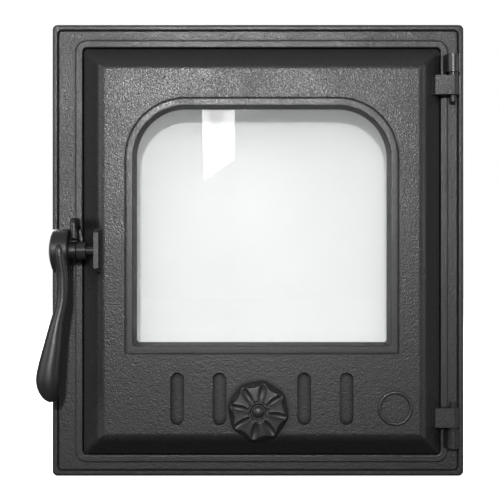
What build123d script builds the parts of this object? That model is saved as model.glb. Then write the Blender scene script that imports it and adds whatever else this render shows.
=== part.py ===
from build123d import *
import math
import os

# Axes: +X right, +Z up, the room is on the -Y side.
# Y = 0 is the back of the flange, which lies on the masonry.

# Frame
band_left = 30.9            # flange outside the opening; the catch is on this side
band_right = 23.7
band_top = 23.6
band_foot = 21.6
flange_thickness = 8.0
frame_corner = 5.0
lip_edge_round = 2.5
groove_inset = 6.0          # from the outer edge to the middle of the V groove
groove_width = 2.8
groove_depth = 2.0
bead_width = 7.5            # raised bead round the opening
bead_height = 2.0
bead_round = 1.4
collar_depth = 20.0         # behind the wall face
collar_wall = 6.0
ledge_depth = 6.0
ledge_reach = 12.0
anchor_hole = 6.0
anchor_spacing = 240.0
anchor_behind_wall = 14.5

# Door leaf
leaf_gap = 1.2
leaf_corner = 4.0
leaf_rise = 23.0            # from the rim to the face of the leaf
leaf_run = 18.6             # how far the sloped wall comes in
leaf_round = 11.0
rim_thickness = 8.0
rim_proud = 1.0             # front of the rim past the front of the flange
rim_width = 13.0
face_thickness = 6.0
wall_inner_run = 8.5
wall_inner_round = 4.0

# Rope seal in the back of the rim
rope_width = 8.0
rope_inset = 3.0
rope_groove_depth = 5.0
rope_proud = 3.7
rope_clearance = 0.3

# Window
window_width = 245.4
window_height = 228.6
window_side = 54.6          # from the window to the side of the leaf
window_head = 62.6          # from the window to the top of the leaf
window_top_radius = 48.0
window_foot_radius = 3.0
chamfer_width = 4.3
chamfer_depth = 4.6
window_bead_width = 5.6
window_bead_height = 1.8
window_groove_width = 1.8
window_groove_depth = 1.4
glass_thickness = 4.0
glass_lap = 12.0
glass_corner = 3.0
tape_thickness = 1.0
tape_width = 9.0

# Glass clips
clip_width = 16.0
clip_thickness = 1.5
clip_step = 1.0
clip_lap = 7.0
clip_inset = 41.3           # from the upper and lower edge of the glass
clip_boss_radius = 6.0
clip_boss_offset = 8.0      # from the edge of the glass
screw_radius = 2.0
screw_head_radius = 4.0
screw_head_height = 2.4
clip_screw_length = 6.0
screw_fit = 0.02
pilot_extra = 0.3           # pilot holes past the tips of the screws

# Air slots and their sliding damper
slot_width = 13.4
slot_length = 51.2
slot_pitch = 41.4
slot_foot = 32.0            # from the foot of the leaf to the slots
sill_gap = 29.6             # from the slots up to the window
slot_cover = 2.6            # land of the damper past each closed slot
damper_thickness = 2.5
damper_margin = 2.6          # past the slots, above and below
damper_end_margin = 6.0
damper_side_margin = 3.2
slide_clearance = 0.3
guide_lap = 2.2             # over the edge of the plate
guide_seat = 8.0
guide_thickness = 1.6
guide_end = 4.0
guide_screw_inset = 9.0
guide_screw_length = 6.5

# Rosette knob
rosette_offset_x = -3.5     # from the middle of the leaf
rosette_lift = 46.2         # from the foot of the leaf
rosette_radius = 30.0
rosette_valley = 26.2
rosette_point_round = 2.0
rosette_lobes = 8
rosette_turn = 34.0
rosette_thickness = 11.0
rosette_edge_round = 5.0
rosette_stand_off = 0.6
rosette_dome_radius = 5.9
rosette_dome_height = 2.4
rosette_ring_radius = 8.2
rosette_ring_round = 0.9
flute_reach = 18.8          # middle of a flute from the middle of the knob
flute_half_length = 10.4
flute_radius = 5.6
flute_lift = 2.2            # axis of a flute above the front of the knob
stud_radius = 3.0
stud_fit = 0.05
spacer_radius = 5.0
spacer_clearance = 0.3
bolt_head_radius = 5.6
bolt_head_height = 4.0
washer_radius = 7.5
washer_thickness = 1.2

# Cast ring low on the right
ring_side = 46.7            # from the hinge side of the leaf
ring_lift = 48.3            # from the foot of the leaf
ring_outer = 17.2
ring_inner = 13.8
ring_height = 1.7

# Hinges
hinge_side = 12.5           # from the side of the leaf to the pin
hinge_lift = 8.5            # from the front of the flange to the pin
knuckle_radius = 6.8
knuckle_inset = 6.8         # from the top and foot of the leaf
knuckle_length = 17.7
hinge_gap = 3.5             # between knuckle and lug
lug_length = 19.0
knuckle_foot_left = 8.9
lug_reach = 8.5             # past the side of the leaf, towards the window
pin_radius = 3.2
pin_fit = 0.05
pin_tail = 7.0
pin_proud = 0.4
pin_collar_radius = 4.6
pin_end_round = 0.8
washer_gap = 0.3            # between a pin's collar and the lug

# Catch: spindle, handle and hook
drum_gap = 9.2              # between the drum and the flange
latch_lift = 0.8            # above the middle of the leaf
ear_inset = 14.5            # from the latch side of the leaf
ear_thickness = 4.8
ear_half_height = 20.7
ear_reach = 9.0
ear_chamfer = 3.5
spindle_radius = 4.0
spindle_fit = 0.05
collar_out = 2.7            # past the latch side of the leaf
collar_length = 9.2
collar_radius = 8.4
collar_edge_round_turned = 0.8
spindle_groove_depth = 0.8
spindle_groove_width = 4.6
spindle_out = 21.8          # past the latch side of the leaf
nose_length = 6.4
nose_gap = 0.4
nose_radius = 20.0
nose_width = 8.0
drum_radius = 20.8
drum_length = 15.3
dome_sag = 4.6
drum_edge_round = 1.2
set_screw_inset = 6.8       # from the inner face of the drum
set_screw_radius = 2.0
set_screw_length = 10.0
hook_out = 1.3              # past the latch side of the leaf
hook_width = 7.4
hook_tip_width = 3.8
hook_nose_gap = 3.2
hook_roof = 8.6
hook_lip = 6.5
hook_lip_gap = 1.0
hook_foot_gap = 2.6         # between the lip and the spindle's collar
hook_base_depth = 5.0
hook_base_low = 14.0
hook_tip_round = 7.0
hook_lip_round = 1.6
hook_inner_round = 3.0

# Lever stations from top to bottom: past the latch side of the leaf, out
# from the latch axis, height, half width, half depth
lever_stations = [
    (17.1, 9.0, 10.6, 6.2, 6.0),
    (16.9, 11.0, 5.0, 7.0, 9.6),
    (16.3, 12.0, -6.0, 6.8, 10.6),
    (14.2, 13.0, -20.9, 6.2, 8.6),
    (13.8, 14.0, -34.0, 6.0, 7.4),
    (14.3, 15.0, -47.8, 6.0, 7.0),
    (18.2, 17.2, -67.1, 6.9, 7.4),
    (23.1, 19.6, -95.9, 9.8, 8.6),
    (26.1, 20.4, -115.1, 11.5, 9.8),
    (26.7, 20.4, -124.0, 11.8, 10.0),
    (26.3, 20.0, -133.0, 10.5, 9.2),
    (25.2, 19.6, -140.0, 7.6, 6.8),
]
lever_top = (17.1, 8.4, 12.7)
lever_foot = (24.9, 19.2, -144.9)

# Worked out from the sizes above
window_sill = slot_foot + slot_length + sill_gap
leaf_width = window_width + 2 * window_side
leaf_height = window_sill + window_height + window_head
opening_width = leaf_width + 2 * leaf_gap
opening_height = leaf_height + 2 * leaf_gap
frame_width = band_left + opening_width + band_right
frame_height = band_foot + opening_height + band_top
leaf_x = (band_left - band_right) / 2
leaf_z = (band_foot - band_top) / 2
leaf_left = leaf_x - leaf_width / 2
leaf_right = leaf_x + leaf_width / 2
leaf_foot = leaf_z - leaf_height / 2
flange_front = -flange_thickness
bead_front = flange_front - bead_height
rim_front = flange_front - rim_proud
rim_back = rim_front + rim_thickness
face_front = rim_front - leaf_rise
face_back = face_front + face_thickness
seal_back = rim_back + rope_proud
ledge_front = seal_back + rope_clearance
ledge_back = ledge_front + ledge_depth
window_z = leaf_foot + window_sill + window_height / 2
glass_front = face_back + tape_thickness
glass_back = glass_front + glass_thickness
clip_boss_back = glass_back - clip_step
clip_spread = window_height / 2 + glass_lap - clip_inset
slot_z = leaf_foot + slot_foot + slot_length / 2
slot_offsets = [-2 * slot_pitch, -slot_pitch, slot_pitch, 2 * slot_pitch]
damper_travel = slot_width + slot_cover
damper_front = face_back + slide_clearance
damper_back = damper_front + damper_thickness
damper_height = slot_length + 2 * damper_margin
rail_back = damper_back + slide_clearance
guide_back = rail_back + guide_thickness
rosette_x = leaf_x + rosette_offset_x
rosette_z = leaf_foot + rosette_lift
rosette_back = face_front - rosette_stand_off
rosette_front = rosette_back - rosette_thickness
hinge_x = leaf_right + hinge_side
hinge_y = flange_front - hinge_lift
knuckle_high = leaf_height / 2 - knuckle_inset      # from the middle of the leaf
knuckle_low = knuckle_high - knuckle_length
lug_high = knuckle_low - hinge_gap
lug_low = lug_high - lug_length
latch_y = flange_front - drum_gap - drum_radius
latch_z = leaf_z + latch_lift
ear_left = leaf_left + ear_inset
ear_front = latch_y - ear_reach
collar_left = leaf_left - collar_out
nose_right = collar_left - nose_gap
nose_left = nose_right - nose_length
drum_left = nose_left - drum_length
spindle_end = leaf_left - spindle_out
set_screw_x = nose_left - set_screw_inset
hook_right = leaf_left - hook_out
hook_left = hook_right - hook_width
hook_top = latch_z + nose_radius + hook_nose_gap + hook_roof
hook_lip_back = latch_y - hook_lip_gap
hook_lip_foot = latch_z + collar_radius + hook_foot_gap
hook_front = hook_lip_back - hook_lip


def at_depth(y):
    return Plane.XZ.offset(-y)


def plate(outline, back, front, x=0.0, z=0.0):
    """A flat solid with this front outline, between two depths."""
    return extrude(at_depth(back) * Pos(x, z) * outline, back - front)


def along_x(x, y, z):
    """A plane whose normal is +X."""
    return Plane(origin=(x, y, z), x_dir=(0, 1, 0), z_dir=(1, 0, 0))


def rod_x(radius, x_from, x_to, y, z):
    return extrude(along_x(x_from, y, z) * Circle(radius), x_to - x_from)


def rod_y(radius, back, front, x, z):
    return extrude(at_depth(back) * Pos(x, z) * Circle(radius), back - front)


def rod_z(radius, low, high, x, y):
    return extrude(Plane.XY.offset(low) * Pos(x, y) * Circle(radius), high - low)


def span(side, near, far):
    """Lowest and highest point of a stretch above or below the leaf's middle."""
    return sorted((leaf_z + side * near, leaf_z + side * far))


def ring(width, height, radius, band):
    """A flat rounded frame, measured to its inner edge."""
    outer = RectangleRounded(width + 2 * band, height + 2 * band, radius + band)
    return outer - RectangleRounded(width, height, radius)


def window_outline(grow=0.0):
    width = window_width + 2 * grow
    height = window_height + 2 * grow
    outline = Rectangle(width, height)
    top = outline.vertices().sort_by(Axis.Y)[-2:]
    outline = fillet(top, window_top_radius + grow)
    foot = outline.vertices().group_by(Axis.Y)[0]
    return fillet(foot, window_foot_radius)


def trough(half_width, half_length, run, back, rim, face, corner, plane):
    """A prism with the section of the leaf in one direction."""
    points = [
        (-half_width, -back), (-half_width, -rim), (-half_width + run, -face),
        (half_width - run, -face), (half_width, -rim), (half_width, -back),
    ]
    section = make_face(Polyline(*points, close=True))
    crest = section.vertices().group_by(Axis.Y)[-1]
    section = fillet(crest, corner)
    return extrude(plane * section, half_length, both=True)


def dish(width, height, run, back, rim, face, corner):
    """Two troughs crossing each other, so that the walls meet in mitres."""
    across = Plane(origin=(0, 0, 0), x_dir=(1, 0, 0), z_dir=(0, 0, -1))
    upright = Plane(origin=(0, 0, 0), x_dir=(0, 0, 1), z_dir=(1, 0, 0))
    wide = trough(width / 2, height / 2, run, back, rim, face, corner, across)
    tall = trough(height / 2, width / 2, run, back, rim, face, corner, upright)
    return Pos(leaf_x, 0, leaf_z) * (wide & tall)


def make_frame():
    outline = RectangleRounded(frame_width, frame_height, frame_corner)
    body = plate(outline, 0, flange_front)
    front = body.faces().sort_by(Axis.Y)[0]
    body = fillet(front.outer_wire().edges(), lip_edge_round)

    # V groove that runs round inside the lip
    groove_line = RectangleRounded(frame_width - 2 * groove_inset,
                                   frame_height - 2 * groove_inset, frame_corner - 1)
    path = (at_depth(flange_front) * groove_line).faces()[0].outer_wire()
    start = path @ 0
    cutter_plane = Plane(origin=start, x_dir=(0, 1, 0), z_dir=path % 0)
    cutter = cutter_plane * make_face(Polyline(
        (-1.0, -groove_width / 2 - 0.4), (-1.0, groove_width / 2 + 0.4),
        (groove_depth, 0), close=True))
    body -= sweep(cutter, path=path, transition=Transition.RIGHT)

    # Raised bead round the opening
    hole = RectangleRounded(opening_width, opening_height, leaf_corner)
    bead = plate(ring(opening_width, opening_height, leaf_corner, bead_width),
                 flange_front + 1, bead_front, leaf_x, leaf_z)
    bead_top = bead.faces().sort_by(Axis.Y)[0]
    bead = fillet(bead_top.outer_wire().edges(), bead_round)
    body += bead

    # Collar that enters the masonry
    collar = plate(RectangleRounded(opening_width + 2 * collar_wall,
                                    opening_height + 2 * collar_wall,
                                    leaf_corner + collar_wall),
                   collar_depth, -1, leaf_x, leaf_z)
    body += collar
    body -= plate(hole, collar_depth + 1, bead_front - 1, leaf_x, leaf_z)
    inner_edge = [e for e in body.edges().group_by(Axis.Y)[0]
                  if abs(e.center().X - leaf_x) < opening_width / 2 + 0.5
                  and abs(e.center().Z - leaf_z) < opening_height / 2 + 0.5]
    body = fillet(inner_edge, bead_round)

    # Ledge that the rope seal closes on
    ledge = ring(opening_width - 2 * ledge_reach, opening_height - 2 * ledge_reach,
                 leaf_corner, ledge_reach + 1)
    body += plate(ledge, ledge_back, ledge_front, leaf_x, leaf_z)

    # Anchor holes through both sides of the collar
    for side in (-1, 1):
        for level in (-0.5, 0.5):
            wall_x = leaf_x + side * (opening_width / 2 + collar_wall / 2)
            body -= rod_x(anchor_hole / 2, wall_x - collar_wall, wall_x + collar_wall,
                          anchor_behind_wall, leaf_z + level * anchor_spacing)

    for side in (-1, 1):
        body += hinge_knuckle(side)
    for side in (-1, 1):
        low, high = span(side, knuckle_low, knuckle_high)
        body -= rod_z(pin_radius + pin_fit, low - 1, high + 1, hinge_x, hinge_y)
    body += catch_hook()
    return body


def hinge_knuckle(side):
    """An eye that stands on the flange, with a swept foot."""
    low, high = span(side, knuckle_low, knuckle_high)
    lift = flange_front + 1 - hinge_y
    foot_edge = -knuckle_foot_left
    side_line = [
        Line((foot_edge, lift), (foot_edge, lift - 2.0)),
        Spline((foot_edge, lift - 2.0), (-knuckle_radius, 1.2), (-knuckle_radius, 0),
               tangents=[(0.3, -1), (0, -1)]),
        Line((-knuckle_radius, 0), (knuckle_radius, 0)),
        Line((knuckle_radius, 0), (knuckle_radius, lift)),
        Line((knuckle_radius, lift), (foot_edge, lift)),
    ]
    foot = make_face(Curve(side_line))
    plane = Plane.XY.offset(low) * Pos(hinge_x, hinge_y)
    solid = extrude(plane * foot, high - low)
    return solid + rod_z(knuckle_radius, low, high, hinge_x, hinge_y)


def catch_hook():
    """The hook on the frame that the nose of the handle goes behind."""
    root = flange_front + 1
    base_front = flange_front - hook_base_depth
    base_low = latch_z - hook_base_low
    roof = hook_top - hook_roof
    points = [
        (root, hook_top), (hook_front, hook_top), (hook_front, hook_lip_foot),
        (hook_lip_back, hook_lip_foot), (hook_lip_back, roof), (base_front, roof),
        (base_front, base_low), (root, base_low),
    ]
    section = make_face(Polyline(*points, close=True))
    tip = [v for v in section.vertices()
           if abs(v.X - hook_front) < 0.1 and abs(v.Y - hook_top) < 0.1]
    section = fillet(tip, hook_tip_round)
    lip = [v for v in section.vertices() if abs(v.Y - hook_lip_foot) < 0.1]
    section = fillet(lip, hook_lip_round)
    inner = [v for v in section.vertices() if abs(v.Y - roof) < 0.1]
    section = fillet(inner, hook_inner_round)
    side = extrude(along_x(hook_left, 0, 0) * section, hook_width)
    # Seen from the room it narrows towards its top
    low = base_low - 1
    high = hook_top + 1
    shoulder = hook_lip_foot + hook_lip_round
    front = make_face(Polyline(
        (hook_left, low), (hook_left, hook_top - 3), (hook_left + 1.6, high),
        (hook_left + hook_tip_width, high), (hook_right, shoulder), (hook_right, low),
        close=True))
    hook = side & plate(front, root + 1, hook_front - 5)
    # Rounded across its front, like a finger
    finger = RectangleRounded(hook_width, 2 * (root - hook_front), hook_width / 2 - 0.1)
    middle = (hook_left + hook_right) / 2
    return hook & extrude(Plane.XY.offset(low) * Pos(middle, root) * finger, high - low)


def make_leaf():
    body = dish(leaf_width, leaf_height, leaf_run, rim_back, rim_front, face_front,
                leaf_round)
    # Slim rounding of the rim's corners and of the mitres above them
    reach = 2.0
    shrink = 2 * leaf_run * (1 + reach / leaf_rise)
    column = plate(RectangleRounded(leaf_width, leaf_height, leaf_corner),
                   rim_back, rim_front, leaf_x, leaf_z)
    low = at_depth(rim_front) * Pos(leaf_x, leaf_z) * RectangleRounded(
        leaf_width, leaf_height, leaf_corner)
    high = at_depth(face_front - reach) * Pos(leaf_x, leaf_z) * RectangleRounded(
        leaf_width - shrink, leaf_height - shrink, leaf_corner)
    body &= column + loft([low, high], ruled=True)

    body -= leaf_hollow()
    rope_track = ring(leaf_width - 2 * (rope_inset + rope_width),
                      leaf_height - 2 * (rope_inset + rope_width), 4.0, rope_width)
    body -= plate(rope_track, rim_back + 1, rim_back - rope_groove_depth, leaf_x, leaf_z)

    body = cut_window(body)
    for offset in slot_offsets:
        body -= plate(SlotOverall(slot_length, slot_width, rotation=90),
                      face_back + 1, face_front - 1, leaf_x + offset, slot_z)
    stud_slot = SlotOverall(damper_travel + 2 * (spacer_radius + spacer_clearance),
                            2 * (spacer_radius + spacer_clearance))
    body -= plate(stud_slot, face_back + 1, face_front - 1,
                  rosette_x + damper_travel / 2, rosette_z)

    medallion = plate(Circle(ring_outer) - Circle(ring_inner), face_front + 0.5,
                      face_front - ring_height, leaf_right - ring_side, leaf_foot + ring_lift)
    crest = medallion.faces().sort_by(Axis.Y)[0]
    body += fillet(crest.edges(), ring_height * 0.85)

    for x, z in clip_boss_places():
        body += rod_y(clip_boss_radius, clip_boss_back, face_back - 0.5, x, z)
        body -= rod_y(screw_radius + screw_fit, clip_boss_back + 1,
                      clip_boss_back + clip_thickness - clip_screw_length - pilot_extra, x, z)
    left, right = guide_span()
    for z in guide_places():
        rail = Rectangle(right - left, guide_seat)
        body += plate(rail, rail_back, face_back - 0.5, leaf_x + (left + right) / 2, z)
    for x, z in guide_screw_places():
        body -= rod_y(screw_radius + screw_fit, rail_back + 1,
                      guide_back - guide_screw_length - pilot_extra, x, z)
    for side in (-1, 1):
        body += hinge_lug(side)
    for side in (-1, 1):
        low, high = span(side, lug_low, lug_high)
        body -= rod_z(pin_radius + pin_fit, low - 1, high + 1, hinge_x, hinge_y)
    body += latch_ear()
    body -= rod_x(spindle_radius + screw_fit, ear_left - 1, ear_left + ear_thickness + 1,
                  latch_y, latch_z)
    return body


def cut_window(body):
    bead_inner = chamfer_width
    bead_outer = bead_inner + window_bead_width
    groove_outer = bead_outer + window_groove_width
    body -= plate(window_outline(groove_outer) - window_outline(bead_outer - 0.6),
                  face_front + window_groove_depth, face_front - 1, leaf_x, window_z)
    bead = plate(window_outline(bead_outer) - window_outline(bead_inner - 0.5),
                 face_front + 2, face_front - window_bead_height, leaf_x, window_z)
    crest = bead.faces().sort_by(Axis.Y)[0]
    body += fillet(crest.edges(), window_bead_height * 0.95)
    body -= plate(window_outline(), face_back + 1, face_front - 6, leaf_x, window_z)
    slope = [
        at_depth(face_front - window_bead_height) * Pos(leaf_x, window_z)
        * window_outline(bead_inner),
        at_depth(face_front - 0.6) * Pos(leaf_x, window_z) * window_outline(bead_inner - 0.4),
        at_depth(face_front + chamfer_depth) * Pos(leaf_x, window_z) * window_outline(),
    ]
    return body - loft(slope, ruled=True)


def hinge_lug(side):
    """An arm from the leaf's sloped wall to the eye round the pin."""
    low, high = span(side, lug_low, lug_high)
    root = -hinge_side - lug_reach
    front = -knuckle_radius
    back = rim_front - hinge_y
    points = [
        (0, front), (root + 2.5, front), (root, front + 3.0), (root - 6.0, front + 5.0),
        (root - 6.0, 2.0), (-hinge_side - 1.5, back - 0.5), (-hinge_side, back - 3.3),
        (-knuckle_radius + 1.2, back - 3.6), (0, 0),
    ]
    section = make_face(Polyline(*points, close=True))
    plane = Plane.XY.offset(low) * Pos(hinge_x, hinge_y)
    arm = extrude(plane * section, high - low)
    lug = arm + rod_z(knuckle_radius, low, high, hinge_x, hinge_y)
    return lug - leaf_hollow()


def leaf_hollow():
    return dish(leaf_width - 2 * rim_width, leaf_height - 2 * rim_width, wall_inner_run,
                rim_back + 0.01, rim_front, face_back, wall_inner_round)


def latch_ear():
    """A plate that stands across the corner of the wall and the face."""
    root = face_back + 2
    outline = make_face(Polyline(
        (root, latch_z - ear_half_height), (root, latch_z + ear_half_height),
        (ear_front, latch_z + ear_half_height), (ear_front, latch_z - ear_half_height),
        close=True))
    corners = [v for v in outline.vertices() if v.X < ear_front + 0.1]
    outline = chamfer(corners, ear_chamfer)
    return extrude(along_x(ear_left, 0, 0) * outline, ear_thickness)


def clip_boss_places():
    half = window_width / 2 + glass_lap + clip_boss_offset
    return [(leaf_x + sx * half, window_z + sz * clip_spread)
            for sx in (-1, 1) for sz in (-1, 1)]


def guide_places():
    """Middle height of the rails above and below the damper plate."""
    reach = damper_height / 2 + slide_clearance + guide_seat / 2
    return [slot_z + reach, slot_z - reach]


def damper_span():
    left = slot_offsets[0] - damper_travel - slot_width / 2 - damper_end_margin
    right = slot_offsets[-1] + slot_width / 2 + damper_side_margin
    return left, right


def guide_span():
    left, right = damper_span()
    return left - guide_end, right + damper_travel + guide_end


def guide_screw_places():
    left, right = guide_span()
    return [(leaf_x + x, z) for z in guide_places()
            for x in (left + guide_screw_inset, right - guide_screw_inset)]


def make_rope_seal():
    track = ring(leaf_width - 2 * (rope_inset + rope_width),
                 leaf_height - 2 * (rope_inset + rope_width), 4.0, rope_width)
    rope = plate(track, seal_back, rim_back - rope_groove_depth, leaf_x, leaf_z)
    back = rope.faces().sort_by(Axis.Y)[-1]
    return fillet(back.edges(), 2.6)


def make_glass():
    outline = RectangleRounded(window_width + 2 * glass_lap, window_height + 2 * glass_lap,
                               glass_corner)
    pane = plate(outline, glass_back, glass_front, leaf_x, window_z)
    rims = pane.faces().filter_by(Axis.Y)
    return chamfer(rims.edges(), 0.4)


def make_tape():
    outer = RectangleRounded(window_width + 2 * glass_lap - 1, window_height + 2 * glass_lap - 1,
                             glass_corner)
    inner = window_outline(glass_lap - 0.5 - tape_width)
    return plate(outer - inner, glass_front, face_back, leaf_x, window_z)


def make_clip(x, z):
    """A joggled steel clip that bridges from its boss on to the glass."""
    side = 1 if x > leaf_x else -1
    edge = clip_boss_offset
    reach = edge + clip_lap
    back = clip_boss_back
    points = [
        (-clip_boss_radius, back), (edge - 3.0, back), (edge - 1.0, back + clip_step),
        (reach, back + clip_step), (reach, back + clip_step + clip_thickness),
        (edge - 1.6, back + clip_step + clip_thickness), (edge - 3.6, back + clip_thickness),
        (-clip_boss_radius, back + clip_thickness),
    ]
    section = make_face(Polyline(*[(x - side * u, v) for u, v in points], close=True))
    clip = extrude(Plane.XY.offset(z) * section, clip_width / 2, both=True)
    ends = clip.edges().filter_by(Axis.Y)
    clip = fillet(ends, 2.5)
    return clip - rod_y(screw_radius + 0.2, back + clip_thickness + 1, back - 1, x, z)


def make_screw(x, z, seat, length):
    """A pan head screw with its head on a seat and a cross recess."""
    shank = rod_y(screw_radius, seat, seat - length, x, z)
    head = rod_y(screw_head_radius, seat + screw_head_height, seat, x, z)
    top = head.faces().sort_by(Axis.Y)[-1]
    head = fillet(top.edges(), screw_head_height * 0.6)
    cross = Rectangle(4.0, 0.9) + Rectangle(0.9, 4.0)
    head -= plate(cross, seat + screw_head_height + 1, seat + screw_head_height - 1.3, x, z)
    return shank + head


def make_guide(z):
    """A steel strip on its rail, whose inner edge laps over the plate."""
    left, right = guide_span()
    side = 1 if z < slot_z else -1
    inner = guide_lap + slide_clearance
    strip = RectangleRounded(right - left, guide_seat + inner, 1.5)
    guide = plate(strip, guide_back, rail_back, leaf_x + (left + right) / 2,
                  z + side * inner / 2)
    for x, level in guide_screw_places():
        if abs(level - z) < 1:
            guide -= rod_y(screw_radius + 0.2, guide_back + 1, rail_back - 1, x, z)
    return guide


def make_damper_plate():
    left, right = damper_span()
    outline = Pos((left + right) / 2, 0) * RectangleRounded(right - left, damper_height, 2.0)
    for offset in slot_offsets:
        outline -= Pos(offset - damper_travel, 0) * SlotOverall(
            slot_length, slot_width, rotation=90)
    outline -= Pos(rosette_offset_x, rosette_z - slot_z) * Circle(stud_radius + 0.1)
    return plate(outline, damper_back, damper_front, leaf_x, slot_z)


def make_damper_bolt():
    seat = damper_back + washer_thickness
    tip = rosette_front + 5.5
    shank = rod_y(stud_radius, seat, tip, rosette_x, rosette_z)
    head = plate(RegularPolygon(bolt_head_radius, 6), seat + bolt_head_height, seat,
                 rosette_x, rosette_z)
    return shank + head


def make_damper_washer():
    washer = Circle(washer_radius) - Circle(stud_radius + 0.2)
    return plate(washer, damper_back + washer_thickness, damper_back, rosette_x, rosette_z)


def make_spacer():
    sleeve = Circle(spacer_radius) - Circle(stud_radius + 0.1)
    return plate(sleeve, damper_front, rosette_back, rosette_x, rosette_z)


def make_rosette():
    """A lobed knob with eight scooped flutes round a domed boss."""
    step = 2 * math.pi / rosette_lobes
    arcs = []
    for k in range(rosette_lobes):
        ends = [(rosette_radius * math.cos(t), rosette_radius * math.sin(t))
                for t in (k * step, (k + 1) * step)]
        dip = (k + 0.5) * step
        middle = (rosette_valley * math.cos(dip), rosette_valley * math.sin(dip))
        arcs.append(ThreePointArc(ends[0], middle, ends[1]))
    outline = make_face(Curve(arcs))
    outline = fillet(outline.vertices(), rosette_point_round)
    lobed = extrude(outline, rosette_thickness + 1)

    # Rounded rim, hollowed face, ring and dome, turned about the knob's axis
    top = rosette_thickness
    rim = rosette_radius + 0.2
    floor = top - 1.2
    ring_in = rosette_ring_radius - rosette_ring_round
    ring_out = rosette_ring_radius + rosette_ring_round
    profile = [
        Line((0, 0), (rim, 0)),
        Line((rim, 0), (rim, top - rosette_edge_round)),
        Spline((rim, top - rosette_edge_round), (rim - 2.4, top - 0.9), (rim - 7.5, top),
               tangents=[(0, 1), (-1, 0)]),
        Spline((rim - 7.5, top), (ring_out, floor), tangents=[(-1, 0), (-1, 0)]),
        ThreePointArc((ring_out, floor), (rosette_ring_radius, floor + rosette_ring_round),
                      (ring_in, floor)),
        Line((ring_in, floor), (rosette_dome_radius, floor)),
        ThreePointArc((rosette_dome_radius, floor),
                      (rosette_dome_radius * 0.52, floor + rosette_dome_height * 0.76),
                      (0, floor + rosette_dome_height)),
        Line((0, floor + rosette_dome_height), (0, 0)),
    ]
    blank = revolve(Plane.XZ * make_face(Curve(profile)), Axis.Z)
    knob = lobed & blank

    half_oval = Ellipse(flute_half_length, flute_radius) & Pos(0, flute_radius) * Rectangle(
        2 * flute_half_length, 2 * flute_radius)
    scoop = revolve(half_oval, Axis.X)
    for k in range(rosette_lobes):
        knob -= Rot(0, 0, 360 * k / rosette_lobes) * Pos(flute_reach, 0, top + flute_lift) * scoop
    knob -= Pos(0, 0, -1) * Cylinder(
        stud_radius + stud_fit, rosette_thickness - 5.0 + 1,
        align=(Align.CENTER, Align.CENTER, Align.MIN))
    place = Plane(origin=(rosette_x, rosette_back, rosette_z), x_dir=(1, 0, 0),
                  z_dir=(0, -1, 0))
    return place * Rot(0, 0, rosette_turn) * knob


def make_pin(side):
    """A steel pin with a collar that keeps knuckle and lug apart."""
    inner = lug_low - pin_tail
    outer = knuckle_high + pin_proud
    low, high = span(side, inner, outer)
    pin = rod_z(pin_radius, low, high, hinge_x, hinge_y)
    ends = pin.edges().filter_by(GeomType.CIRCLE)
    pin = fillet(ends, pin_end_round)
    low, high = span(side, lug_high + washer_gap, knuckle_low)
    return pin + rod_z(pin_collar_radius, low, high, hinge_x, hinge_y)


def make_spindle():
    """A turned pin riveted in the ear, with a collar and a groove."""
    pin = rod_x(spindle_radius, spindle_end, ear_left + ear_thickness, latch_y, latch_z)
    left_end = pin.faces().sort_by(Axis.X)[0]
    pin = chamfer(left_end.edges(), 0.6)
    collar = rod_x(collar_radius, collar_left, collar_left + collar_length, latch_y, latch_z)
    collar = fillet(collar.edges().filter_by(GeomType.CIRCLE), collar_edge_round_turned)
    left = set_screw_x - spindle_groove_width / 2
    right = set_screw_x + spindle_groove_width / 2
    groove = rod_x(spindle_radius + 1, left, right, latch_y, latch_z)
    groove -= rod_x(spindle_radius - spindle_groove_depth, left, right, latch_y, latch_z)
    return pin + collar - groove


def make_handle():
    """A domed drum with a nose at one end and a lever that swells to a bulb."""
    # Drum turned about the spindle
    crown = drum_left - dome_sag
    outline = [
        Line((crown, 0), (nose_left, 0)),
        Line((nose_left, 0), (nose_left, drum_radius)),
        Line((nose_left, drum_radius), (drum_left, drum_radius)),
        ThreePointArc((drum_left, drum_radius),
                      (drum_left - dome_sag * 0.74, drum_radius * 0.5), (crown, 0)),
    ]
    drum = revolve(make_face(Curve(outline)), Axis.X)
    rims = [e for e in drum.edges().filter_by(GeomType.CIRCLE) if e.radius > drum_radius - 0.1]
    drum = fillet(rims, drum_edge_round)
    handle = Pos(0, latch_y, latch_z) * drum

    # Nose plate beside the drum
    nose = Circle(collar_radius) + Pos(nose_width / 2 + 0.4, nose_radius / 2) * RectangleRounded(
        nose_width, nose_radius, 2.4)
    plane = along_x(nose_left - 0.5, latch_y, latch_z)
    handle += extrude(plane * nose, nose_length + 0.5)

    # Lever lofted through oval stations
    sections = [lever_point(lever_top)]
    for *place, half_width, half_depth in lever_stations:
        middle = lever_point(place)
        level = Plane(origin=(middle.X, middle.Y, middle.Z), x_dir=(1, 0, 0), z_dir=(0, 0, 1))
        sections.append(level * Ellipse(half_width, half_depth))
    sections.append(lever_point(lever_foot))
    handle += loft(sections)

    handle -= rod_x(spindle_radius + spindle_fit, spindle_end - 1.0, nose_right + 1,
                    latch_y, latch_z)
    handle -= rod_y(set_screw_radius + screw_fit, latch_y + drum_radius + 1, latch_y,
                    set_screw_x, latch_z)
    return handle


def lever_point(station):
    out_of_leaf, forward, height = station
    return Vertex(leaf_left - out_of_leaf, latch_y - forward, latch_z + height)


def make_set_screw():
    """A grub screw in the back of the drum, its tip in the spindle's groove."""
    tip = latch_y + spindle_radius - spindle_groove_depth + 0.2
    back = tip + set_screw_length
    screw = rod_y(set_screw_radius, back, tip, set_screw_x, latch_z)
    outer = screw.faces().sort_by(Axis.Y)[-1]
    screw = chamfer(outer.edges(), 0.3)
    return screw - plate(RegularPolygon(1.15, 6), back + 1, back - 2.2, set_screw_x, latch_z)


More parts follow.
